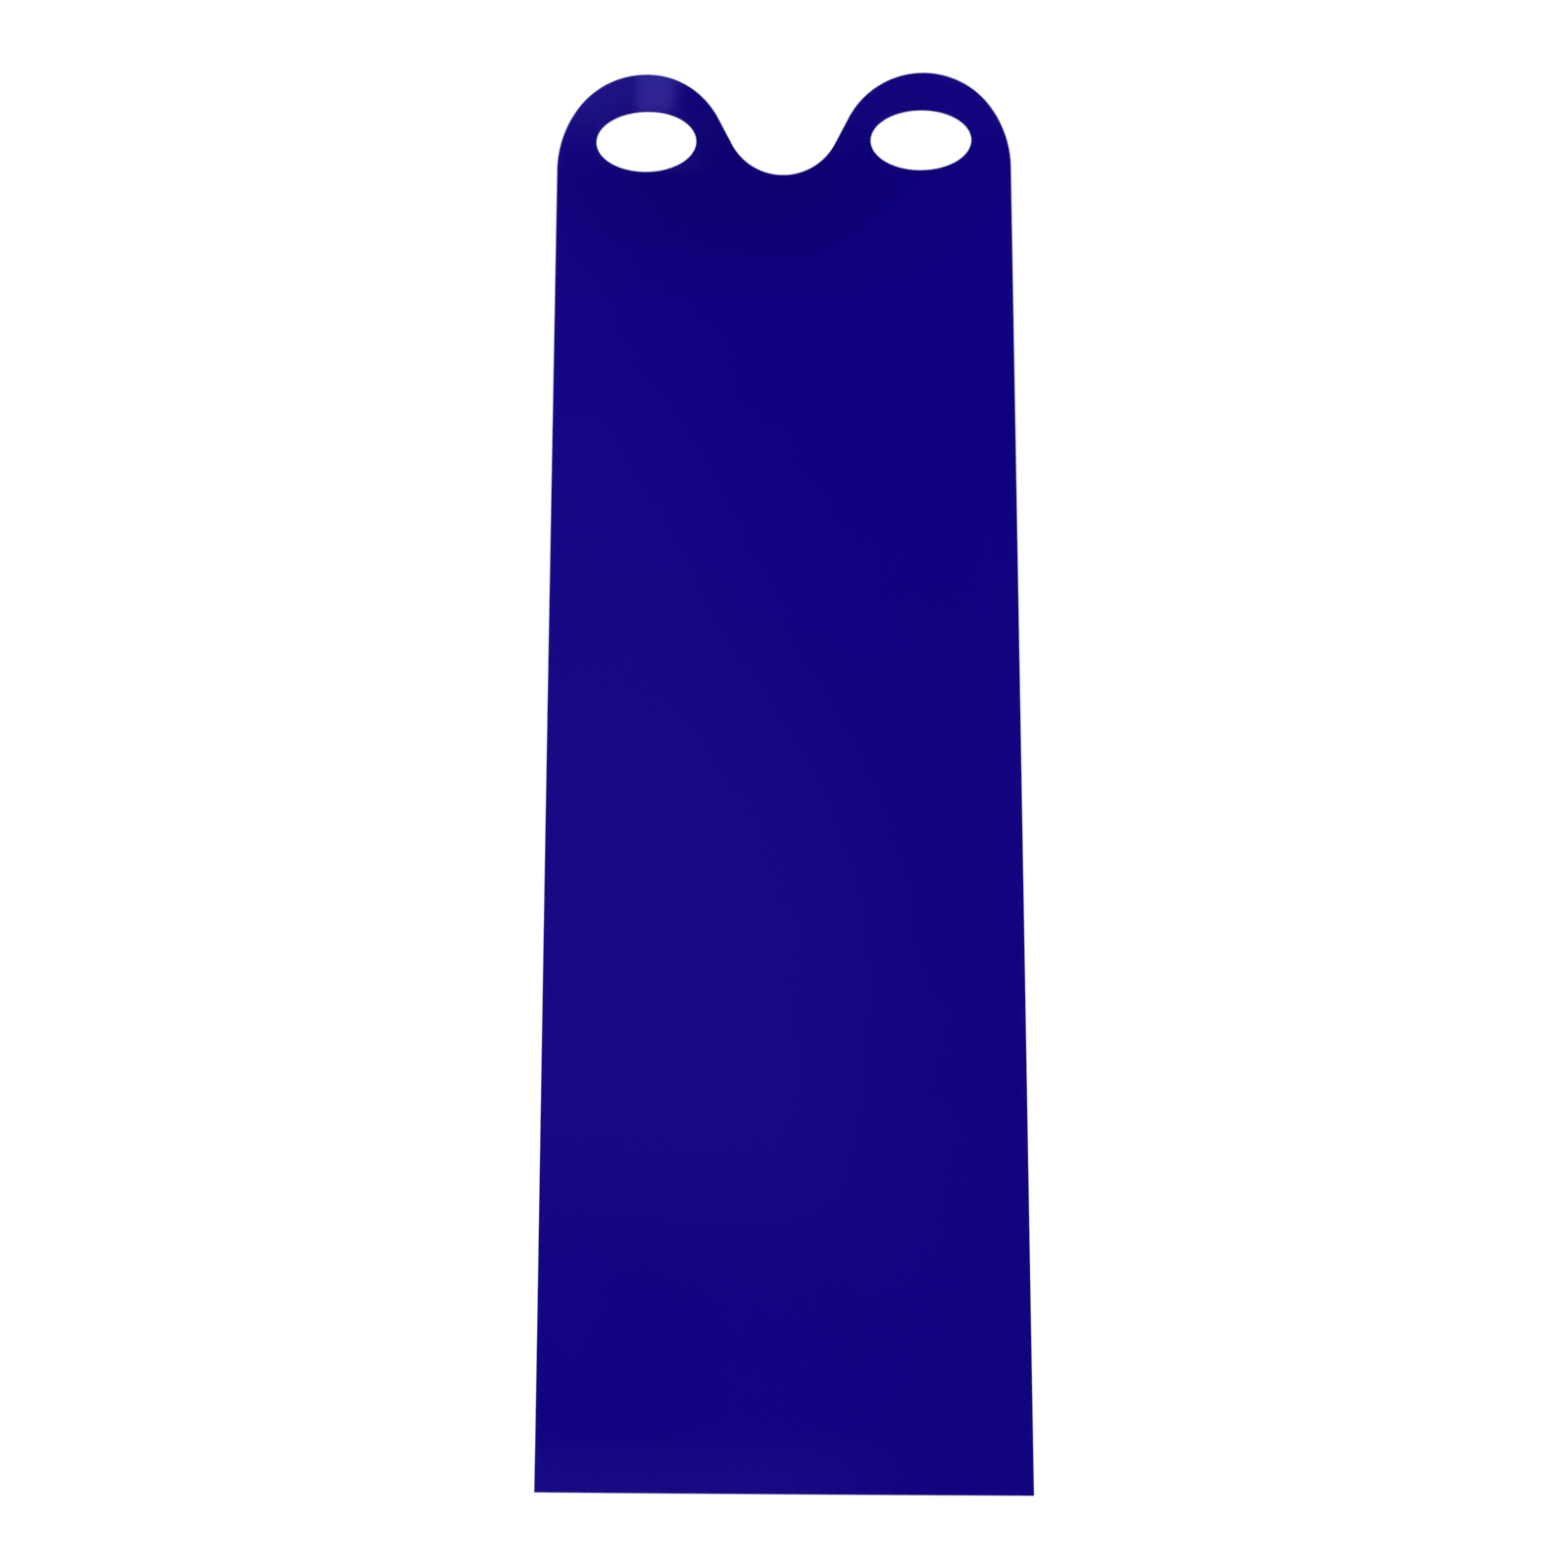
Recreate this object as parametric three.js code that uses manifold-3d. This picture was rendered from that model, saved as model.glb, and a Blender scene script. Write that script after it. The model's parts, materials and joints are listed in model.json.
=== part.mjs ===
// A flexible plastic apron sheet, cut in one piece.
//
// The sheet hangs in the X-Z plane with its front towards -Y. Two round ears stand up at the top, each with
// an oval loop opening for a hook, a strap or a hand, and a round neck notch lies between them. The straight
// sides flare a little towards a square hem.
//
// The bending sheet is given as stiff sections that meet along level flex lines, each section turning on the
// one above it. A section ends below in a round nose on its flex line, and the next one starts square, clear
// of that nose, so that the two can turn a quarter turn either way and never cut into each other.
//
// Units are millimetres, +Z is up and +X is to the right of someone who looks at the front. The origin is
// midway between the two loop openings, level with their top edges, where the hooks bear.

import * as THREE from "three";
import { mergeVertices } from "three/addons/utils/BufferGeometryUtils.js";
import Module from "manifold-3d";

// Overall sizes. The shoulder width is that of the straight sides at the level of the ear centres.
const OVERALL_LENGTH = 1220;
const SHOULDER_WIDTH = 390;
const HEM_WIDTH = 430;
const SHEET_THICKNESS = 1.5;

// The ears, and the easing arc that runs each one into its straight side.
const EAR_RADIUS = 72;
const EAR_INSET = 3.5; // from the ear's circle out to the line of the straight side
const EASING_GAIN = 18; // how much longer the easing arc's radius is than the ear's

// The neck notch between the ears, which has a short straight flank on each side.
const NECK_DEPTH = 87; // below the ear tops
const NECK_FLANK = 25;

// The oval loop openings. A drop is measured down from the ear tops.
const LOOP_WIDTH = 86;
const LOOP_HEIGHT = 51;
const LOOP_DROP = 58;
const LOOP_SHIFT = 1.5; // from the ear's centre towards the middle of the sheet

// The sections that hang one from another below the yoke, which carries the ears and is held still.
const LOWER_SECTIONS = 11;
const FLEX_CLEARANCE = 0.3; // between a section's round nose and the square edge that turns about it

// How finely the curves are cut into flat facets.
const ARC_DIVISIONS = 20;
const NOSE_DIVISIONS = 4;

// Places that follow from the sizes above.
const EAR_TOP = LOOP_DROP - LOOP_HEIGHT / 2;
const HEM = EAR_TOP - OVERALL_LENGTH;
const EAR_LINE = EAR_TOP - LOOP_DROP; // the ears bend across their openings, where they are weakest
const SECTION_LENGTH = (EAR_LINE - HEM) / (1 + LOWER_SECTIONS);
const NOSE_RADIUS = SHEET_THICKNESS / 2;
const BEYOND = SHEET_THICKNESS; // how far a cutting solid reaches past what it cuts

const SHEET_MATERIAL = { color: 0x140582, roughness: 0.35, metalness: 0 };

const wasm = await Module();
wasm.setup();

// The circles of the outline's right half. Angles are in radians, anticlockwise from +X.
function outlineArcs() {
  const flare = Math.atan2((HEM_WIDTH - SHOULDER_WIDTH) / 2, OVERALL_LENGTH - EAR_RADIUS);
  const ear = new THREE.Vector2(
    SHOULDER_WIDTH / 2 - (EAR_RADIUS + EAR_INSET) / Math.cos(flare),
    EAR_TOP - EAR_RADIUS,
  );

  // The easing arc touches the straight side from within, and the ear's circle touches that arc from within.
  const easingRadius = EAR_RADIUS + EASING_GAIN;
  const across = EASING_GAIN - EAR_INSET;
  const along = Math.sqrt(EASING_GAIN ** 2 - across ** 2);
  const outward = new THREE.Vector2(Math.cos(flare), Math.sin(flare));
  const upward = new THREE.Vector2(-Math.sin(flare), Math.cos(flare));
  const easing = ear.clone().addScaledVector(outward, -across).addScaledVector(upward, -along);
  const easingEnd = flare + Math.atan2(along, across);

  // The flank is the line that crosses between the ear's circle and the neck's circle and touches both.
  const radiiSum = (ear.x ** 2 + NECK_DEPTH ** 2 - NECK_FLANK ** 2) / (2 * NECK_DEPTH);
  const neckRadius = radiiSum - EAR_RADIUS;
  const neck = new THREE.Vector2(0, EAR_TOP - NECK_DEPTH + neckRadius);
  const earEnd = neck.clone().sub(ear).angle() - Math.atan2(NECK_FLANK, radiiSum);

  return { flare, ear, easing, easingRadius, easingEnd, neck, neckRadius, earEnd };
}

// One loop opening as a closed path, on the right for side 1 and on the left for side -1.
function loopOpening(side, earX) {
  const opening = new THREE.Path();
  const centreX = side * (earX - LOOP_SHIFT);
  opening.absellipse(centreX, EAR_LINE, LOOP_WIDTH / 2, LOOP_HEIGHT / 2, 0, 2 * Math.PI);
  return opening;
}

// The flat cut of the whole sheet, with X across and Z up.
function sheetOutline() {
  const { flare, ear, easing, easingRadius, easingEnd, neck, neckRadius, earEnd } = outlineArcs();
  const mirrored = (angle) => Math.PI - angle;
  const outline = new THREE.Shape();
  outline.moveTo(-HEM_WIDTH / 2, HEM);
  outline.lineTo(HEM_WIDTH / 2, HEM);
  outline.absarc(easing.x, easing.y, easingRadius, flare, easingEnd, false);
  outline.absarc(ear.x, ear.y, EAR_RADIUS, easingEnd, earEnd, false);
  outline.absarc(neck.x, neck.y, neckRadius, earEnd - Math.PI, -earEnd, true);
  outline.absarc(-ear.x, ear.y, EAR_RADIUS, mirrored(earEnd), mirrored(easingEnd), false);
  outline.absarc(-easing.x, easing.y, easingRadius, mirrored(easingEnd), mirrored(flare), false);
  outline.closePath();
  outline.holes = [loopOpening(1, ear.x), loopOpening(-1, ear.x)];
  return outline;
}

// A closed geometry as a manifold-3d solid.
function solidOf(geometry) {
  geometry.deleteAttribute("normal");
  geometry.deleteAttribute("uv");
  const merged = mergeVertices(geometry);
  const vertProperties = merged.getAttribute("position").array;
  const triVerts = new Uint32Array(merged.index.array);
  return new wasm.Manifold(new wasm.Mesh({ numProp: 3, vertProperties, triVerts }));
}

// A manifold-3d solid as a geometry with flat facets.
function geometryOf(solid) {
  const { vertProperties, triVerts } = solid.getMesh();
  const geometry = new THREE.BufferGeometry();
  geometry.setAttribute("position", new THREE.BufferAttribute(vertProperties, 3));
  geometry.setIndex(new THREE.BufferAttribute(triVerts, 1));
  const faceted = geometry.toNonIndexed();
  faceted.computeVertexNormals();
  return faceted;
}

// The flat cut as a plate, a little thicker than the sheet, so that a section's profile gives its faces.
function cutPlate() {
  const depth = SHEET_THICKNESS + 2 * BEYOND;
  const plate = new THREE.ExtrudeGeometry(sheetOutline(), {
    depth,
    bevelEnabled: false,
    curveSegments: ARC_DIVISIONS,
  });
  plate.rotateX(Math.PI / 2);
  plate.translate(0, depth / 2, 0);
  return solidOf(plate);
}

// The solid that a section's side view sweeps along X. It starts square at top and ends at foot,
// in a round nose or square.
function sectionSweep(top, foot, hasNose, fromX, toX) {
  const profile = new THREE.Shape();
  profile.moveTo(NOSE_RADIUS, top);
  profile.lineTo(-NOSE_RADIUS, top);
  profile.lineTo(-NOSE_RADIUS, foot);
  if (hasNose) profile.absarc(0, foot, NOSE_RADIUS, Math.PI, 2 * Math.PI, false);
  else profile.lineTo(NOSE_RADIUS, foot);
  profile.closePath();
  const sweep = new THREE.ExtrudeGeometry(profile, {
    depth: toX - fromX,
    bevelEnabled: false,
    curveSegments: NOSE_DIVISIONS,
  });
  // Profile X becomes Y, profile Y becomes Z, and the sweep runs along X.
  const axes = new THREE.Matrix4().makeBasis(
    new THREE.Vector3(0, 1, 0),
    new THREE.Vector3(0, 0, 1),
    new THREE.Vector3(1, 0, 0),
  );
  sweep.applyMatrix4(axes);
  sweep.translate(fromX, 0, 0);
  return solidOf(sweep);
}

// A named section, with its geometry measured from the flex line that it turns about.
function sectionMesh(name, solid, turnsAbout) {
  const mesh = new THREE.Mesh(
    geometryOf(solid).translate(0, 0, -turnsAbout),
    new THREE.MeshStandardMaterial(SHEET_MATERIAL),
  );
  mesh.name = name;
  return mesh;
}

// One ear above the middle of its opening, in a group that sits on the ears' flex line.
function earGroup(plate, name, fromX, toX) {
  const sweep = sectionSweep(EAR_TOP + BEYOND, EAR_LINE, true, fromX, toX);
  const group = new THREE.Group();
  group.position.z = EAR_LINE;
  group.add(sectionMesh(name, plate.intersect(sweep), EAR_LINE));
  return group;
}

// The yoke and the lower sections, each in a group on its upper flex line, inside the group of the one above.
function addSections(plate, sheet) {
  const reachX = Math.max(HEM_WIDTH, SHOULDER_WIDTH);
  let holder = sheet;
  let holderLine = 0;
  for (let i = 0; i <= LOWER_SECTIONS; i++) {
    const name = i === 0 ? "yoke" : `section_${i}`;
    const isHem = i === LOWER_SECTIONS;
    const line = EAR_LINE - i * SECTION_LENGTH;
    const top = line - NOSE_RADIUS - FLEX_CLEARANCE;
    const sweep = sectionSweep(top, line - SECTION_LENGTH, !isHem, -reachX, reachX);
    const group = new THREE.Group();
    group.position.z = line - holderLine;
    group.add(sectionMesh(name, plate.intersect(sweep), line));
    holder.add(group);
    holder = group;
    holderLine = line;
  }
}

const plate = cutPlate();
const sheet = new THREE.Group();
sheet.add(earGroup(plate, "left_ear", -SHOULDER_WIDTH, 0));
sheet.add(earGroup(plate, "right_ear", 0, SHOULDER_WIDTH));
addSections(plate, sheet);

export default sheet;
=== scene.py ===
# A flexible plastic apron sheet, cut in one piece, with two ears that have oval loop openings.
#
# The sheet is made as a row of pieces of one surface. Each piece takes in one flex line of the frame, and
# two neighbours meet on a seam between two flex lines. A flat cut is
# meshed first, with its rounded cut edge, and a Geometry Nodes tree then gives it the slight relief of a hung
# sheet.
#
# Lengths are in metres, +Z is up, and the front faces -Y.

import json
import math

import bmesh
import bpy
import numpy as np
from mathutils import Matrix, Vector, kdtree
from mathutils.geometry import delaunay_2d_cdt

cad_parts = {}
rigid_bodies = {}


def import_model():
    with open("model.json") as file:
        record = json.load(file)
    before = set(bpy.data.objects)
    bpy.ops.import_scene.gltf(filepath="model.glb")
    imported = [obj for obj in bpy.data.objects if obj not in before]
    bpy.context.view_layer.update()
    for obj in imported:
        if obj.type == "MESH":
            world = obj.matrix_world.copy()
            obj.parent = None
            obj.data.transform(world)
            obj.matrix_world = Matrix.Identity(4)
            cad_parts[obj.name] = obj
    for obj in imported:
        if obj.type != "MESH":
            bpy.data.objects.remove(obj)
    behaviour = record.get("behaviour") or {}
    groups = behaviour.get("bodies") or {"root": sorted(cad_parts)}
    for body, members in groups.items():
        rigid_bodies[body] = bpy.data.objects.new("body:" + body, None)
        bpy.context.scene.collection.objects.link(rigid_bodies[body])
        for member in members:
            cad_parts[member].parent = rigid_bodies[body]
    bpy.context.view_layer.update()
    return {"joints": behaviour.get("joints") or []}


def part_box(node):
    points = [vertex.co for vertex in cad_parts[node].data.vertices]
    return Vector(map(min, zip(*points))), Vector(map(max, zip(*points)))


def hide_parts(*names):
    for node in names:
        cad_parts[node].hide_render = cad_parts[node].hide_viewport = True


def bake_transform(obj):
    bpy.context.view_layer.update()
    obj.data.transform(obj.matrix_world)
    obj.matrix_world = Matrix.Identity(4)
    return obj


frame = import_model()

# What the frame says: flex lines, the sheet's ends and its thickness.
FLEX = {joint["name"]: joint["pos_m"][2] for joint in frame["joints"]}
BODIES = {joint["name"]: (joint["parent"], joint["child"]) for joint in frame["joints"]}
EAR_LINE = FLEX["left_ear_bend"]
EAR_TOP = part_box("left_ear")[1].z
LOWER_LINES = [name for name in FLEX if name.startswith("section_")]
HEM_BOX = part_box(BODIES[LOWER_LINES[-1]][1])
HEM = HEM_BOX[0].z
HEM_HALF_WIDTH = HEM_BOX[1].x
THICKNESS = HEM_BOX[1].y - HEM_BOX[0].y

# The rest of the cut, as the frame's solids have it.
SHOULDER_HALF_WIDTH = 0.195
EAR_RADIUS = 0.072
EAR_INSET = 0.0035
EASING_GAIN = 0.018
NECK_DEPTH = 0.087
NECK_FLANK = 0.025
LOOP_WIDTH = 0.086
LOOP_HEIGHT = 0.051
LOOP_SHIFT = 0.0015

# How the sheet is meshed.
EDGE_RADIUS = 0.0003
EDGE_TURNS = (0, 30, 60, 90)  # degrees round the edge, from the face
EDGE_SUPPORT = 0.0004  # a narrow flat strip inside the rounded edge, which keeps the faces' shading flat
ARC_STEP = 0.0015
LINE_STEP = 0.004
FACE_STEP = 0.004
RIM_CLEARANCE = 0.6 * FACE_STEP  # between the filling of a face and its rim
JOIN_DISTANCE = 1e-7
SHARP_ANGLE = math.radians(50)
EAR_SEAM = -0.060  # below the loops and the neck notch


# ---------------------------------------------------------------------------------------------------------
# Node trees


class Value:
    """A number in a node tree. Python's operators on it add Math nodes."""

    def __init__(self, wiring, socket):
        self.wiring = wiring
        self.socket = socket

    def math(self, operation, *others, clamp=False):
        settings = {"operation": operation, "use_clamp": clamp}
        values = dict(enumerate((self, *others)))
        return self.wiring.node("ShaderNodeMath", settings, values).out("Value")

    def __add__(self, other):
        return self.math("ADD", other)

    def __sub__(self, other):
        return self.math("SUBTRACT", other)

    def __rsub__(self, other):
        return self.wiring.constant(other).math("SUBTRACT", self)

    def __mul__(self, other):
        return self.math("MULTIPLY", other)

    def __truediv__(self, other):
        return self.math("DIVIDE", other)

    def __neg__(self):
        return self.math("MULTIPLY", -1.0)

    __radd__ = __add__
    __rmul__ = __mul__

    def squared(self):
        return self.math("MULTIPLY", self)

    def sine(self):
        return self.math("SINE")

    def bell(self):
        """1 where the value is 0, falling to 0 on both sides."""
        return (-self.squared()).math("EXPONENT")

    def rise(self, low, high):
        """0 up to low and 1 from high, with a smooth turn between them."""
        share = ((self - low) / (high - low)).math("MULTIPLY", 1.0, clamp=True)
        return share.squared() * (3.0 - 2.0 * share)


class Node:
    """One node, whose outputs are read by name."""

    def __init__(self, wiring, made):
        self.wiring = wiring
        self.made = made

    def out(self, name):
        return Value(self.wiring, self.made.outputs[name])


class Wiring:
    """A node tree that is being wired up."""

    def __init__(self, tree):
        self.tree = tree
        tree.nodes.clear()

    def node(self, kind, settings=None, values=None):
        made = self.tree.nodes.new(kind)
        for name, setting in (settings or {}).items():
            setattr(made, name, setting)
        for name, value in (values or {}).items():
            self.feed(made.inputs[name], value)
        return Node(self, made)

    def feed(self, socket, value):
        if isinstance(value, Value):
            self.tree.links.new(value.socket, socket)
        else:
            socket.default_value = value

    def constant(self, number):
        node = self.node("ShaderNodeMath", {"operation": "ADD"}, {0: number, 1: 0.0})
        return node.out("Value")


# ---------------------------------------------------------------------------------------------------------
# The flat cut


def arc(centre, radius, start, end):
    """Points on a circle from one angle to another, both ends included."""
    steps = max(2, math.ceil(abs(end - start) * radius / ARC_STEP))
    angles = np.linspace(start, end, steps + 1)
    return np.stack([centre[0] + radius * np.cos(angles), centre[1] + radius * np.sin(angles)], 1)


def line(start, end):
    """Evenly spaced points from start to end, both included."""
    start, end = np.array(start, float), np.array(end, float)
    steps = max(1, math.ceil(np.linalg.norm(end - start) / LINE_STEP))
    return start + (end - start) * np.linspace(0, 1, steps + 1)[:, None]


FLARE = math.atan2(HEM_HALF_WIDTH - SHOULDER_HALF_WIDTH, EAR_TOP - EAR_RADIUS - HEM)
EAR_CENTRE = (SHOULDER_HALF_WIDTH - (EAR_RADIUS + EAR_INSET) / math.cos(FLARE), EAR_TOP - EAR_RADIUS)
LOOP_CENTRE = (EAR_CENTRE[0] - LOOP_SHIFT, EAR_LINE)


def side(z):
    """The right side of the cut at height z."""
    return (HEM_HALF_WIDTH - (z - HEM) * math.tan(FLARE), z)


def ear_path():
    """The cut of the right ear, from its straight side over the top to the middle of the neck notch."""
    easing_radius = EAR_RADIUS + EASING_GAIN
    across = EASING_GAIN - EAR_INSET
    along = math.sqrt(EASING_GAIN**2 - across**2)
    easing = (
        EAR_CENTRE[0] - across * math.cos(FLARE) + along * math.sin(FLARE),
        EAR_CENTRE[1] - across * math.sin(FLARE) - along * math.cos(FLARE),
    )
    easing_end = FLARE + math.atan2(along, across)
    radii_sum = (EAR_CENTRE[0] ** 2 + NECK_DEPTH**2 - NECK_FLANK**2) / (2 * NECK_DEPTH)
    neck_radius = radii_sum - EAR_RADIUS
    neck = (0, EAR_TOP - NECK_DEPTH + neck_radius)
    to_neck = math.atan2(neck[1] - EAR_CENTRE[1], neck[0] - EAR_CENTRE[0])
    ear_end = to_neck - math.atan2(NECK_FLANK, radii_sum)
    eased = arc(easing, easing_radius, FLARE, easing_end)
    rounded = arc(EAR_CENTRE, EAR_RADIUS, easing_end, ear_end)
    notch = arc(neck, neck_radius, ear_end - math.pi, -math.pi / 2)
    return joined(line(side(EAR_SEAM), eased[0]), eased, rounded, line(rounded[-1], notch[0]), notch)


def joined(*paths):
    """Paths that follow on from each other, as one path."""
    return np.concatenate([path[:-1] for path in paths[:-1]] + [paths[-1]])


class Loop:
    """A closed edge with the sheet on its left. Each run of it is a real cut or a seam to the next piece."""

    def __init__(self, *runs):
        self.points = np.concatenate([path[:-1] for path, _ in runs])
        self.is_seam = np.concatenate([np.full(len(path) - 1, seam) for path, seam in runs])

    def mirrored(self):
        """The same loop on the other side of the sheet."""
        other = Loop.__new__(Loop)
        other.points = np.roll(self.points[::-1] * (-1, 1), 1, 0)
        other.is_seam = self.is_seam[::-1].copy()
        return other

    def outward(self):
        """For each point, the move that takes both of its cut edges out by 1. It is 0 inside a seam."""
        ahead = np.roll(self.points, -1, 0) - self.points
        ahead /= np.linalg.norm(ahead, axis=1)[:, None]
        behind = np.roll(ahead, 1, 0)
        normal_ahead = np.stack([ahead[:, 1], -ahead[:, 0]], 1)
        normal_behind = np.roll(normal_ahead, 1, 0)
        seam_ahead, seam_behind = self.is_seam, np.roll(self.is_seam, 1)
        both = (normal_ahead + normal_behind) / (1 + (normal_ahead * normal_behind).sum(1))[:, None]
        move = np.where((seam_ahead | seam_behind)[:, None], 0, both)
        for i in np.flatnonzero(seam_ahead & ~seam_behind):
            move[i] = ahead[i] / (ahead[i] @ normal_behind[i])
        for i in np.flatnonzero(seam_behind & ~seam_ahead):
            move[i] = behind[i] / (behind[i] @ normal_ahead[i])
        return move


def ear_loops():
    """The edge of the right ear and of its loop opening."""
    path = ear_path()
    foot = line((0, EAR_SEAM), side(EAR_SEAM))
    middle = line(path[-1], (0, EAR_SEAM))
    steps = math.ceil(math.pi * (LOOP_WIDTH + LOOP_HEIGHT) / 2 / ARC_STEP)
    turn = np.linspace(0, -2 * math.pi, steps + 1)
    oval = np.stack([LOOP_WIDTH / 2 * np.cos(turn), LOOP_HEIGHT / 2 * np.sin(turn)], 1) + LOOP_CENTRE
    return [Loop((foot, True), (path, False), (middle, True)), Loop((oval, False))]


def band_loops(top, foot):
    """The edge of a stretch of the sheet between two levels. At the hem it ends in a real cut."""
    right = line(side(foot), side(top))
    left = right[::-1] * (-1, 1)
    half_top = line((0, top), side(top))
    over = joined(half_top[::-1], half_top * (-1, 1))
    half_foot = line((0, foot), side(foot))
    under = joined(half_foot[::-1] * (-1, 1), half_foot)
    return [Loop((under, foot > HEM), (right, False), (over, True), (left, False))]


# ---------------------------------------------------------------------------------------------------------
# The sheet's mesh


def inside(points, loops):
    """Which points lie on the sheet, by the even-odd rule."""
    odd = np.zeros(len(points), bool)
    for loop in loops:
        for (x0, z0), (x1, z1) in zip(loop.points, np.roll(loop.points, -1, 0)):
            if z0 == z1:
                continue
            spans = (points[:, 1] < z0) != (points[:, 1] < z1)
            odd ^= spans & (points[:, 0] < x0 + (points[:, 1] - z0) * (x1 - x0) / (z1 - z0))
    return odd


def tree_of(points):
    """A search tree of points in the plane of the sheet."""
    tree = kdtree.KDTree(len(points))
    for index, (x, z) in enumerate(points):
        tree.insert((x, 0, z), index)
    tree.balance()
    return tree


def distances(points, tree):
    return np.array([tree.find((x, 0, z))[2] for x, z in points])


def face_points(loops, rim):
    """Points of a triangular lattice that fill the sheet inside its rim."""
    low, high = rim.min(0), rim.max(0)
    row_step = FACE_STEP * math.sqrt(3) / 2
    rows = np.arange(math.ceil(low[1] / row_step), math.floor(high[1] / row_step) + 1)
    columns = np.arange(math.floor(low[0] / FACE_STEP) - 1, math.ceil(high[0] / FACE_STEP) + 1)
    x = columns[None, :] * FACE_STEP + (rows[:, None] % 2) * FACE_STEP / 2
    z = np.broadcast_to(rows[:, None] * row_step, x.shape)
    lattice = np.stack([x.ravel(), z.ravel()], 1)
    lattice = lattice[inside(lattice, loops)]
    return lattice[distances(lattice, tree_of(rim)) > RIM_CLEARANCE]


def edge_profile():
    """The rounded edge from the front face round to the back, as steps of (distance in from the cut, Y)."""
    face_to_cut = [(EDGE_RADIUS + EDGE_SUPPORT, 0.0)]
    for turn in np.radians(EDGE_TURNS):
        face_to_cut.append((EDGE_RADIUS * (1 - math.sin(turn)), EDGE_RADIUS * (1 - math.cos(turn))))
    front = [(inset, rise - THICKNESS / 2) for inset, rise in face_to_cut]
    back = [(inset, THICKNESS / 2 - rise) for inset, rise in reversed(face_to_cut)]
    return front + back


def sheet_mesh(name, loops, cut_tree):
    """A closed piece of flat sheet. Attributes hold its place in the cut and how far the cut edge is."""
    edge = np.concatenate([loop.points for loop in loops])
    outward = np.concatenate([loop.outward() for loop in loops])
    starts = np.cumsum([0] + [len(loop.points) for loop in loops])
    following = np.concatenate([np.roll(np.arange(a, b), -1) for a, b in zip(starts, starts[1:])])
    profile = edge_profile()
    rings = [edge - outward * inset for inset, _ in profile]

    rim = rings[0]
    filling = face_points(loops, rim)
    triangles = face_triangles(np.concatenate([rim, filling]), following)
    on_opening = np.zeros(len(rim) + len(filling), bool)
    on_opening[starts[1] : len(rim)] = True
    triangles = triangles[~on_opening[triangles].all(1)]

    count, last = len(edge), len(profile) - 1
    ring_places = [in_space(ring, y) for ring, (_, y) in zip(rings, profile)]
    front_y, back_y = profile[0][1], profile[-1][1]
    places = np.concatenate([*ring_places, in_space(filling, front_y), in_space(filling, back_y)])
    here = np.arange(count)
    fill = (last + 1) * count + np.arange(len(filling))
    front_ids = np.concatenate([here, fill])
    back_ids = np.concatenate([last * count + here, fill + len(filling)])
    polygons = front_ids[triangles].tolist() + back_ids[triangles[:, ::-1]].tolist()
    for ring in range(last):
        near, far = ring * count, (ring + 1) * count
        polygons += np.stack([near + here, far + here, far + following, near + following], 1).tolist()

    mesh = bpy.data.meshes.new(name)
    mesh.from_pydata(places.tolist(), [], polygons)
    mesh.shade_smooth()
    store(mesh, "from_cut", "FLOAT", distances(places[:, (0, 2)], cut_tree))
    store(mesh, "flat_place", "FLOAT_VECTOR", places)
    finish_edges(mesh)
    return mesh


def in_space(points, y):
    return np.stack([points[:, 0], np.full(len(points), y), points[:, 1]], 1)


def face_triangles(points, following):
    """Triangles between the points, inside the edge that each of the first points makes with its follower."""
    edges = list(enumerate(following.tolist()))
    corners = [Vector(point) for point in points]
    inside_only = 1
    found, _, faces, sources, _, _ = delaunay_2d_cdt(corners, edges, [], inside_only, JOIN_DISTANCE)
    assert len(found) == len(points)
    return np.array([ids[0] for ids in sources])[np.array(faces)]


def finish_edges(mesh):
    """Joins the edge's rings where they run together at a seam, and keeps the flat ends there sharp."""
    work = bmesh.new()
    work.from_mesh(mesh)
    bmesh.ops.remove_doubles(work, verts=work.verts, dist=JOIN_DISTANCE)
    for edge in work.edges:
        edge.smooth = edge.calc_face_angle() < SHARP_ANGLE
    work.to_mesh(mesh)
    work.free()


def store(mesh, name, kind, values):
    attribute = mesh.attributes.new(name, kind, "POINT")
    field = "vector" if kind == "FLOAT_VECTOR" else "value"
    attribute.data.foreach_set(field, np.asarray(values, np.float32).ravel())


# ---------------------------------------------------------------------------------------------------------
# The relief of the hung sheet

# The depths and lengths of the relief, which are the tree's inputs.
RELIEF = {
    "Side Bow": 0.0012,  # how far the sides go back from the middle line
    "Long Wave": 0.0022,
    "Long Wave Length": 1.5,
    "Swell": 0.0008,  # a broad fold that runs down from the left shoulder
    "Swell Width": 0.16,
    "Ear Lean": 0.003,  # how far the left ear would lean back at the end of LEAN_HEIGHTS
    "Ear Roll": 0.0022,  # how far the left ear's inner side comes forward of its outer side
    "Ear Ridge": 0.0036,  # the same over its middle, which is the most bent
    "Hem Curl": -0.0016,
    "Hem Curl Height": 0.07,
}

# Where its parts lie. Each pair is where a part starts and where it is full.
WAVE_PHASE = 0.6
SWELL_ACROSS = (0.78, 0.36)  # how fast X and Z lead across the swell
SWELL_MIDDLE = -0.62  # the height at which the swell crosses the middle line
ROLL_HEIGHTS = (-0.058, 0.012)
LEAN_HEIGHTS = (-0.020, 0.080)
BESIDE_LEFT_EAR = (-0.085, -0.035)
ROLL_WIDTH = (-0.200, -0.095)
RIDGE_WIDTH = (-0.130, -0.085)


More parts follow.
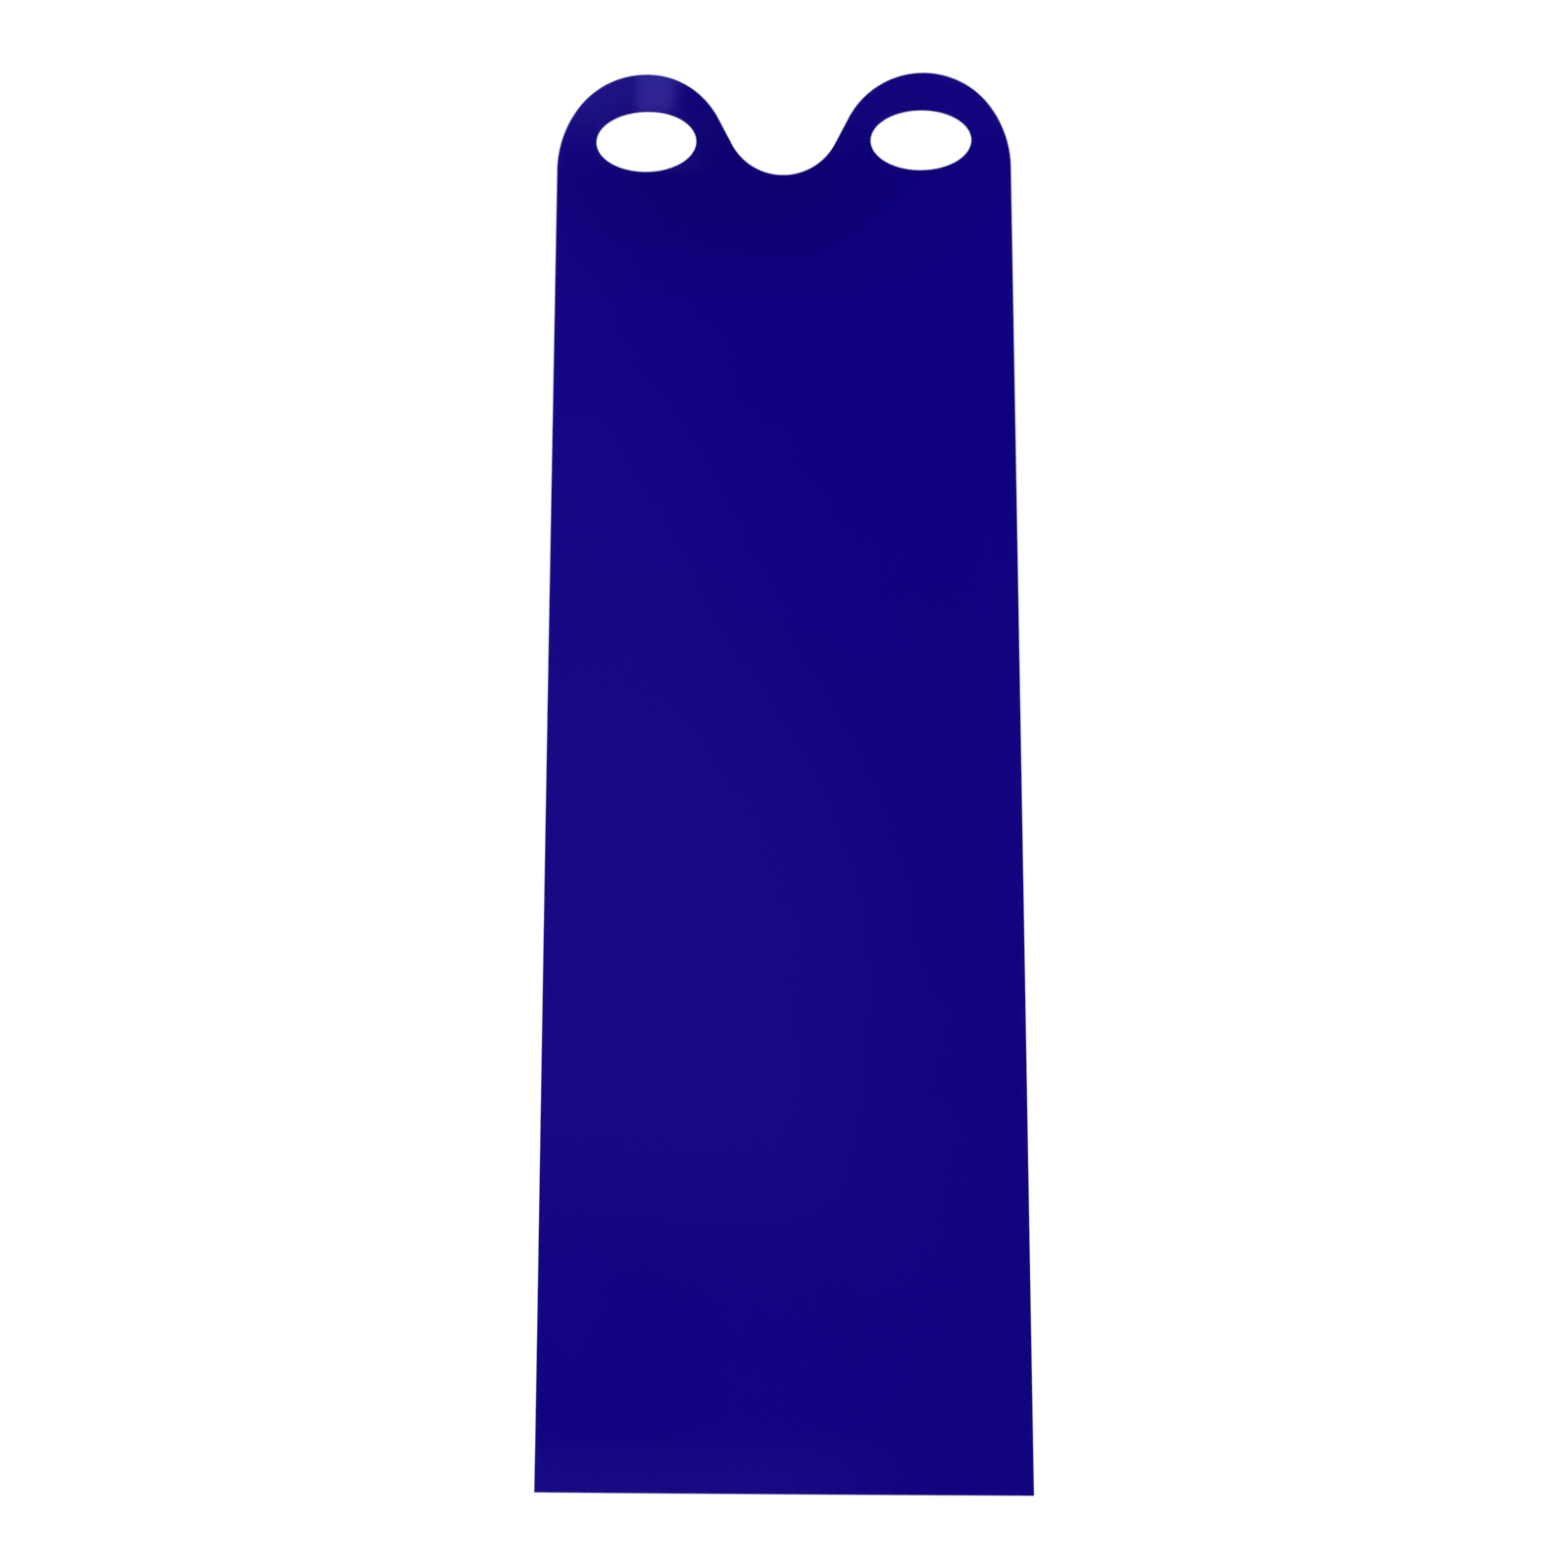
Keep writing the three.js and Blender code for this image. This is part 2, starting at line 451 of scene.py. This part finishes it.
def hung_sheet_tree(material):
    """The tree that gives a flat cut its relief, with a named input for each size."""
    tree = bpy.data.node_groups.new("Hung Sheet", "GeometryNodeTree")
    tree.interface.new_socket("Geometry", in_out="INPUT", socket_type="NodeSocketGeometry")
    for name, value in RELIEF.items():
        socket = tree.interface.new_socket(name, in_out="INPUT", socket_type="NodeSocketFloat")
        socket.default_value = value
    tree.interface.new_socket("Geometry", in_out="OUTPUT", socket_type="NodeSocketGeometry")
    w = Wiring(tree)
    size = w.node("NodeGroupInput").out
    place = w.node("GeometryNodeInputPosition").out("Position")
    split = w.node("ShaderNodeSeparateXYZ", None, {"Vector": place})
    x, z = split.out("X"), split.out("Z")

    bow = (x / HEM_HALF_WIDTH).squared() * size("Side Bow")
    wave = (z * (2 * math.pi) / size("Long Wave Length") + WAVE_PHASE).sine() * size("Long Wave")
    across_swell = x * SWELL_ACROSS[0] + (z - SWELL_MIDDLE) * SWELL_ACROSS[1]
    swell = (across_swell / size("Swell Width")).bell() * size("Swell")
    in_left_ear = 1.0 - x.rise(*BESIDE_LEFT_EAR)
    lean = z.rise(*LEAN_HEIGHTS) * in_left_ear * size("Ear Lean")
    forward = x.rise(*ROLL_WIDTH) * size("Ear Roll") + x.rise(*RIDGE_WIDTH) * size("Ear Ridge")
    roll = z.rise(*ROLL_HEIGHTS) * in_left_ear * forward
    above_hem = ((z - HEM) / size("Hem Curl Height")).math("MULTIPLY", 1.0, clamp=True)
    hem_curl = (1.0 - above_hem).squared() * size("Hem Curl")
    depth = bow + wave + swell + lean - roll + hem_curl

    offset = w.node("ShaderNodeCombineXYZ", None, {"Y": depth}).out("Vector")
    moved = w.node("GeometryNodeSetPosition", None, {"Geometry": size("Geometry"), "Offset": offset})
    whole = w.node("GeometryNodeRealizeInstances", None, {"Geometry": moved.out("Geometry")})
    covered = {"Geometry": whole.out("Geometry"), "Material": material}
    finished = w.node("GeometryNodeSetMaterial", None, covered)
    w.node("NodeGroupOutput", None, {"Geometry": finished.out("Geometry")})
    return tree


def hung(name, mesh, tree):
    """The flat mesh after the tree, as a plain object."""
    flat = bpy.data.objects.new(name + "_flat", mesh)
    bpy.context.scene.collection.objects.link(flat)
    modifier = flat.modifiers.new("Hung Sheet", "NODES")
    modifier.node_group = tree
    for socket in tree.interface.items_tree:
        if socket.in_out == "INPUT" and socket.name in RELIEF:
            modifier[socket.identifier] = RELIEF[socket.name]
    evaluated = flat.evaluated_get(bpy.context.evaluated_depsgraph_get())
    shaped = bpy.data.meshes.new_from_object(evaluated)
    bpy.data.objects.remove(flat)
    piece = bpy.data.objects.new(name, shaped)
    shaped.name = name
    bpy.context.scene.collection.objects.link(piece)
    return piece


# ---------------------------------------------------------------------------------------------------------
# The plastic

BLUE = (0.0044, 0.0, 0.211, 1)
CLOUDY_BLUE = (0.0050, 0.0001, 0.219, 1)
NECK_SHADE_BLUE = (0.0020, 0.0, 0.100, 1)  # painted shade below the neck notch
# Paler blue for the painted highlight along the cut edge, and for the wear that hands leave near it.
EDGE_HIGHLIGHT_AND_WEAR_BLUE = (0.030, 0.020, 0.36, 1)
DUST = (0.10, 0.10, 0.30, 1)
GLOSS_TINT = (0.25, 0.18, 1.0, 1)

NECK_SHADE_MIDDLE = (-0.05, -0.055)
NECK_SHADE_REACH = (0.16, 0.08)
RIM_WIDTH = 0.0006
HANDLED_WIDTH = 0.007  # how far in from a cut edge hands have dulled the gloss
RUBBED_HEIGHTS = (-0.050, 0.0)  # the ears are duller from here up


def noise(w, place, scale, detail=2.0, stretch=(1, 1, 1)):
    """Noise from 0 to 1 with about `scale` features to the metre, drawn out by stretch."""
    spread = w.node("ShaderNodeVectorMath", {"operation": "MULTIPLY"}, {0: place, 1: stretch}).out("Vector")
    values = {"Vector": spread, "Scale": scale, "Detail": detail}
    return w.node("ShaderNodeTexNoise", {"noise_dimensions": "3D"}, values).out("Fac")


def turned(w, place, degrees):
    """The place in the sheet, turned in its own plane."""
    values = {"Vector": place, "Rotation": (0, math.radians(degrees), 0)}
    return w.node("ShaderNodeMapping", {"vector_type": "POINT"}, values).out("Vector")


def mixed(w, share, first, second):
    """A colour between two colours."""
    values = {"Factor": share, "A": first, "B": second}
    node = w.node("ShaderNodeMix", {"data_type": "RGBA"})
    for name, value in values.items():
        kind = "VALUE" if name == "Factor" else "RGBA"
        w.feed(next(s for s in node.made.inputs if s.name == name and s.type == kind), value)
    return Value(w, next(s for s in node.made.outputs if s.type == "RGBA"))


def scratches(w, place, degrees, scale):
    """Thin straight scratches that run one way."""
    lines = noise(w, turned(w, place, degrees), scale, 1.0, (1, 1, 0.012))
    patches = noise(w, place, 9.0, 1.0)
    return lines.rise(0.70, 0.78) * patches.rise(0.50, 0.62)


def sheet_plastic():
    """Calendered plastic sheet: a satin gloss over faint ripple, with light wear, a cut edge painted paler as
    a highlight, and painted shade below the neck notch.
    """
    material = bpy.data.materials.new("blue_sheet_plastic")
    material.use_nodes = True
    w = Wiring(material.node_tree)
    place = w.node("ShaderNodeAttribute", {"attribute_name": "flat_place"}).out("Vector")
    from_cut = w.node("ShaderNodeAttribute", {"attribute_name": "from_cut"}).out("Fac")

    ripple = noise(w, place, 320.0, 2.0)
    grain = noise(w, place, 2600.0, 1.0)
    rolling = noise(w, place, 260.0, 1.0, (1, 1, 0.02))
    clouds = noise(w, place, 5.0, 3.0)
    worn = scratches(w, place, 18, 700.0).math("MAXIMUM", scratches(w, place, -34, 900.0))
    rim = 1.0 - from_cut.rise(0.0, RIM_WIDTH)
    handled = (1.0 - from_cut.rise(0.0, HANDLED_WIDTH)) * noise(w, place, 60.0, 3.0).rise(0.42, 0.70)
    split = w.node("ShaderNodeSeparateXYZ", None, {"Vector": place})
    x, z = split.out("X"), split.out("Z")
    rubbed = z.rise(*RUBBED_HEIGHTS)
    # A painted shade below the neck notch, where the blue is made darker.
    neck_shade = ((x - NECK_SHADE_MIDDLE[0]) / NECK_SHADE_REACH[0]).bell() * ((z - NECK_SHADE_MIDDLE[1]) / NECK_SHADE_REACH[1]).bell()
    dust = speckle(w, place)

    tint = mixed(w, clouds.rise(0.35, 0.65), BLUE, CLOUDY_BLUE)
    tint = mixed(w, neck_shade * 0.5, tint, NECK_SHADE_BLUE)
    tint = mixed(w, handled * 0.05, tint, EDGE_HIGHLIGHT_AND_WEAR_BLUE)
    # The paler rim is a painted highlight where the thin cut edge catches light.
    tint = mixed(w, rim * 0.6, tint, EDGE_HIGHLIGHT_AND_WEAR_BLUE)
    tint = mixed(w, dust * 0.25, tint, DUST)
    as_made = 0.06 + clouds * 0.03 + rolling * 0.01
    roughness = as_made + worn * 0.03 + handled * 0.06 + rim * 0.3 + rubbed * 0.11
    height = ripple * 0.5 + grain * 0.06 + rolling * 0.35 - worn * 0.05 + rim * grain * 0.8
    relief = {"Height": height, "Strength": 0.25, "Distance": 0.00003}
    normal = w.node("ShaderNodeBump", None, relief).out("Normal")

    values = {"Base Color": tint, "Roughness": roughness, "Normal": normal, "Specular Tint": GLOSS_TINT}
    surface = w.node("ShaderNodeBsdfPrincipled", None, values).out("BSDF")
    w.node("ShaderNodeOutputMaterial", None, {"Surface": surface})
    return material


def speckle(w, place):
    """A few specks of dust."""
    cells = w.node("ShaderNodeTexVoronoi", {"feature": "F1"}, {"Vector": place, "Scale": 45.0})
    near = 1.0 - cells.out("Distance").rise(0.015, 0.030)
    chosen = w.node("ShaderNodeSeparateColor", None, {"Color": cells.out("Color")}).out("Red")
    return near * chosen.rise(0.93, 0.94)


# ---------------------------------------------------------------------------------------------------------
# The studio

VIEW_WIDTH = 1.346  # at the sheet
LENS = 100.0
SENSOR = 36.0
VIEW_TURN = math.radians(2.5)
VIEW_MIDDLE = Vector((0.0005, 0.0, (EAR_TOP + HEM) / 2))
FLOOR_DROP = 0.34  # from the hem
FLOOR_RADIUS = 1.5
FLOOR_CORNERS = 96

# How bright the studio is: what lights the sheet, and what the gloss mirrors.
AMBIENT = 0.83
KEY_POWER = 22.0
TOP_POWER = 32.0
STRIP_POWER = 3.4
STRIP_FILL_POWER = 0.272
WALL_GLOSS = 0.4
CARD_GLOSS = 0.38
DARK_GLOSS = 0.002

# Where the dim card at the front lies, as slopes of the direction to it.
CARD_LEAN = 0.545
CARD_SLANT = (-0.060, -0.012)
CARD_SIDE = (-0.030, 0.004)
CARD_FOOT = (-0.130, -0.108)
CARD_HEAD = (0.0, 0.13)


def camera():
    data = bpy.data.cameras.new("camera")
    data.lens = LENS
    data.sensor_width = SENSOR
    eye = bpy.data.objects.new("camera", data)
    bpy.context.scene.collection.objects.link(eye)
    bpy.context.scene.camera = eye
    distance = VIEW_WIDTH * LENS / SENSOR
    eye.location = VIEW_MIDDLE + Vector((math.sin(VIEW_TURN), -math.cos(VIEW_TURN), 0)) * distance
    eye.rotation_euler = (math.pi / 2, 0, VIEW_TURN)


def floor():
    """A round, pale floor below the hung sheet."""
    mesh = bpy.data.meshes.new("floor")
    turns = np.linspace(0, 2 * math.pi, FLOOR_CORNERS, endpoint=False)
    x, y = FLOOR_RADIUS * np.cos(turns), FLOOR_RADIUS * np.sin(turns)
    corners = np.stack([x, y, np.full(FLOOR_CORNERS, HEM - FLOOR_DROP)], 1)
    mesh.from_pydata(corners.tolist(), [], [list(range(FLOOR_CORNERS))])
    disc = bpy.data.objects.new("floor", mesh)
    bpy.context.scene.collection.objects.link(disc)
    material = bpy.data.materials.new("pale_floor")
    material.use_nodes = True
    w = Wiring(material.node_tree)
    place = w.node("ShaderNodeTexCoord").out("Object")
    shade = mixed(w, noise(w, place, 3.0), (0.93, 0.93, 0.93, 1), (0.96, 0.96, 0.96, 1))
    surface = w.node("ShaderNodeBsdfPrincipled", None, {"Base Color": shade, "Roughness": 0.8}).out("BSDF")
    w.node("ShaderNodeOutputMaterial", None, {"Surface": surface})
    mesh.materials.append(material)


def softbox(name, place, size, power, target=VIEW_MIDDLE):
    """A rectangular area light that faces its target and isn't seen itself."""
    data = bpy.data.lights.new(name, "AREA")
    data.shape = "RECTANGLE"
    data.size, data.size_y = size
    data.energy = power
    lamp = bpy.data.objects.new(name, data)
    bpy.context.scene.collection.objects.link(lamp)
    lamp.location = place
    lamp.rotation_euler = (target - Vector(place)).to_track_quat("-Z", "Y").to_euler()
    lamp.visible_camera = False


def surroundings():
    """A white room that lights the sheet evenly.

    The gloss sees its front and back ends dark, so that the blue stays deep, but for a dim card at the front.
    """
    world = bpy.data.worlds.new("studio")
    bpy.context.scene.world = world
    world.use_nodes = True
    w = Wiring(world.node_tree)
    direction = w.node("ShaderNodeTexCoord").out("Generated")
    split = w.node("ShaderNodeSeparateXYZ", None, {"Vector": direction})
    depth = split.out("Y").math("ABSOLUTE")
    across, up = split.out("X") / depth, split.out("Z") / depth
    walls = 1.0 - depth.rise(0.86, 0.95)
    is_front = 1.0 - split.out("Y").rise(-0.1, 0.1)
    slant = across + up * CARD_LEAN
    corner = (1.0 - slant.rise(*CARD_SLANT)) * (1.0 - across.rise(*CARD_SIDE)) * up.rise(*CARD_FOOT)
    card = corner * 0.7 + (1.0 - up.rise(*CARD_HEAD)) * 0.3
    ends = card * is_front * (1.0 - walls)
    mirrored = walls * WALL_GLOSS + ends * CARD_GLOSS + DARK_GLOSS
    ray = w.node("ShaderNodeLightPath")
    seen, diffused = ray.out("Is Camera Ray"), ray.out("Is Diffuse Ray")
    strength = seen + diffused * AMBIENT + ray.out("Is Glossy Ray") * mirrored
    values = {"Color": (1, 1, 1, 1), "Strength": strength}
    light = w.node("ShaderNodeBackground", None, values).out("Background")
    w.node("ShaderNodeOutputWorld", None, {"Surface": light})


def studio():
    camera()
    floor()
    surroundings()
    softbox("front_key_light", (-2.6, -1.6, -0.5), (2.6, 2.2), KEY_POWER)
    softbox("back_key_light", (2.6, 1.6, -0.5), (2.6, 2.2), KEY_POWER)
    softbox("top_light", (0.0, 0.01, 3.2), (3.0, 3.0), TOP_POWER)
    ear = Vector((-LOOP_CENTRE[0], 0, 0.02))
    softbox("ear_strip_light", (-0.80, -1.9, 0.72), (0.46, 1.0), STRIP_POWER, ear)
    softbox("ear_fill_light", (-0.38, -1.9, 0.83), (0.24, 0.72), STRIP_FILL_POWER, ear)
    bpy.context.scene.view_settings.view_transform = "Standard"


# ---------------------------------------------------------------------------------------------------------
# The whole sheet


def build_sheet():
    """Cuts and shapes every piece, from the ears down to the hem."""
    tree = hung_sheet_tree(sheet_plastic())
    ear = ear_loops()
    cuts = {"left_ear_bend": [loop.mirrored() for loop in ear], "right_ear_bend": ear}
    half_section = (FLEX[LOWER_LINES[0]] - FLEX[LOWER_LINES[1]]) / 2
    top = EAR_SEAM
    for joint in LOWER_LINES:
        foot = HEM if joint == LOWER_LINES[-1] else FLEX[joint] - half_section
        cuts[joint] = band_loops(top, foot)
        top = foot
    cut_points = [loop.points[~loop.is_seam] for loops in cuts.values() for loop in loops]
    cut_tree = tree_of(np.concatenate(cut_points))
    for joint, loops in cuts.items():
        above, below = BODIES[joint]
        mesh = sheet_mesh(below + "_sheet", loops, cut_tree)
        piece = hung(below + "_sheet", mesh, tree)
        is_ear = joint not in LOWER_LINES
        reach = -LOOP_HEIGHT / 2 if is_ear else half_section
        FLEX[joint] + reach
        FLEX[joint] - reach
        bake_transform(piece)
        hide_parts(below, *([above] if joint == LOWER_LINES[0] else []))


studio()
build_sheet()
